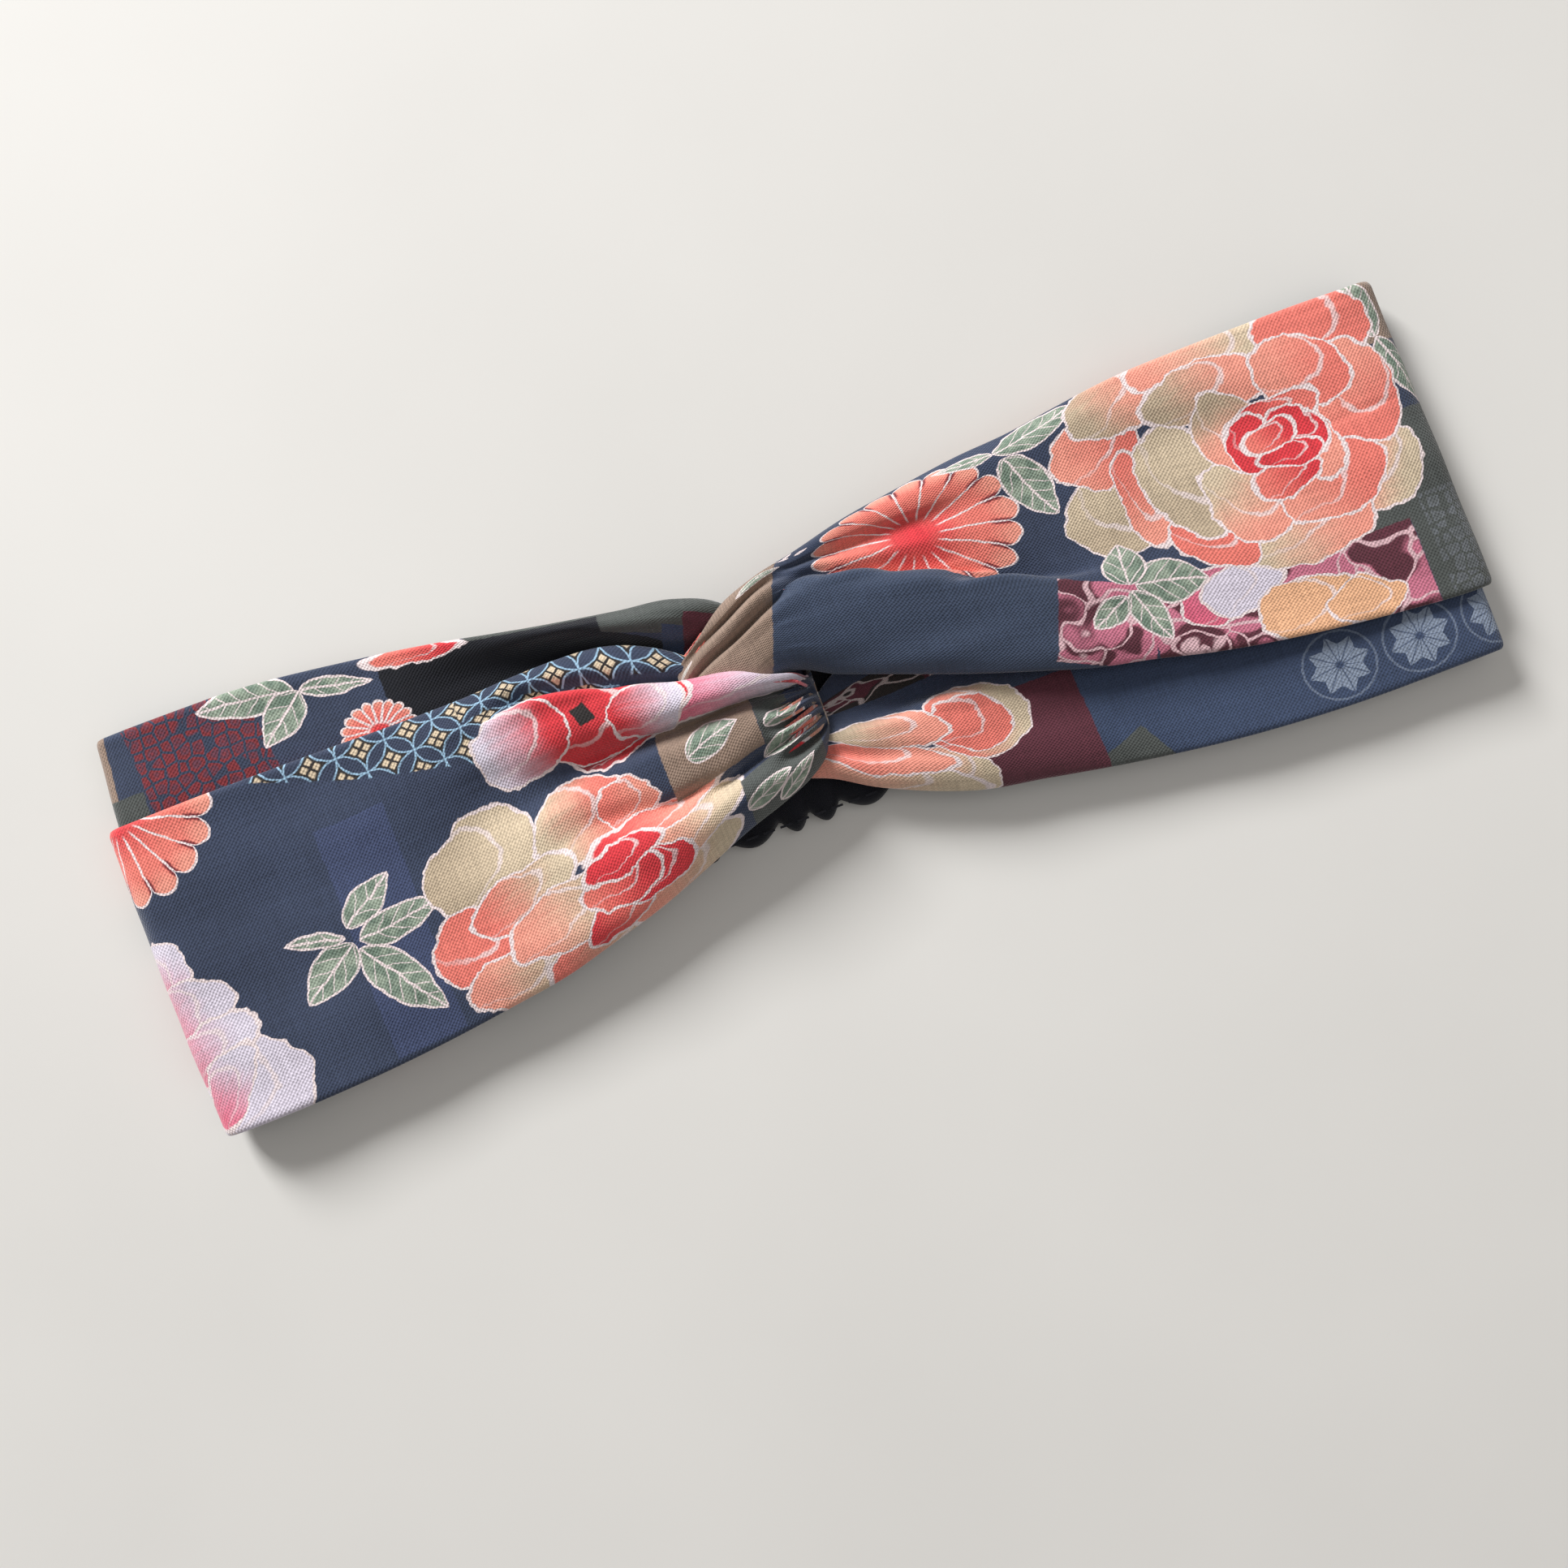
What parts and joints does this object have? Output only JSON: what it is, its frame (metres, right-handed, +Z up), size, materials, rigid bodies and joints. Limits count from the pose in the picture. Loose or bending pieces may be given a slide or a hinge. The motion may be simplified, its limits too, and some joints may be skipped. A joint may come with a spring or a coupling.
{
  "type": "knotted headband",
  "caption": "Twist-front cotton headband: two flattened fabric tubes interlock in a front knot and meet in a gathered elastic casing at the back.",
  "frame": {"origin": "under the middle of the folded headband, on the surface it lies on", "axes": "+X along the headband to the right as seen from the knot side, +Y across the fabric, +Z up out of the knot"},
  "size_m": [0.242, 0.074, 0.0168],
  "materials": {
    "left_print_cotton": "matte",
    "right_print_cotton": "matte",
    "casing_cotton": "matte",
    "woven_elastic": "matte",
    "sewing_thread": "matte"
  },
  "bodies": {
    "elastic_back": {"elastic_casing": "casing_cotton", "elastic_left_tack": "sewing_thread", "casing_seam_stitches": "sewing_thread"},
    "elastic": {"elastic_strip": "woven_elastic", "elastic_right_tack": "sewing_thread"},
    "left_back": {"left_band_back_outer_leg": "left_print_cotton", "left_band_back_inner_leg": "left_print_cotton", "left_join_stitches": "sewing_thread"},
    "front": {"left_band_top_leg": "left_print_cotton", "left_band_under_leg": "left_print_cotton", "left_band_knot_turn": "left_print_cotton", "left_band_outer_fold": "left_print_cotton", "left_band_inner_fold": "left_print_cotton", "right_band_top_leg": "right_print_cotton", "right_band_under_leg": "right_print_cotton", "right_band_knot_turn": "right_print_cotton", "right_band_outer_fold": "right_print_cotton", "right_band_inner_fold": "right_print_cotton", "left_band_seam_stitches": "sewing_thread", "right_band_seam_stitches": "sewing_thread"},
    "right_back": {"right_band_back_outer_leg": "right_print_cotton", "right_band_back_inner_leg": "right_print_cotton", "right_join_stitches": "sewing_thread"}
  },
  "joints": [
    {"name": "left_join_hinge", "type": "hinge", "parent": "elastic_back", "child": "left_back", "pos_m": [-0.055, 0, 0.0018], "axis": [0, 1, 0], "range_deg": [0, 30]},
    {"name": "left_fold_hinge", "type": "hinge", "parent": "left_back", "child": "front", "pos_m": [-0.1168, 0, 0.0042], "axis": [0, 1, 0], "range_deg": [-30, 0], "deforming": ["left_band_outer_fold", "left_band_inner_fold"]},
    {"name": "right_fold_hinge", "type": "hinge", "parent": "front", "child": "right_back", "pos_m": [0.1168, 0, 0.0042], "axis": [0, 1, 0], "range_deg": [-30, 0], "deforming": ["right_band_outer_fold", "right_band_inner_fold"]},
    {"name": "elastic_stretch", "type": "slide", "parent": "elastic_back", "child": "elastic", "axis": [1, 0, 0], "range_m": [0, 0.0191], "stiffness_N_per_m": 20, "deforming": ["elastic_casing", "elastic_strip"]}
  ],
  "couplings": [
    {"joint": "left_fold_hinge", "follows": "left_join_hinge", "ratio": -1},
    {"joint": "right_fold_hinge", "follows": "left_join_hinge", "ratio": -1},
    {"joint": "elastic_stretch", "follows": "left_join_hinge", "m_per_rad": 0.03621}
  ]
}
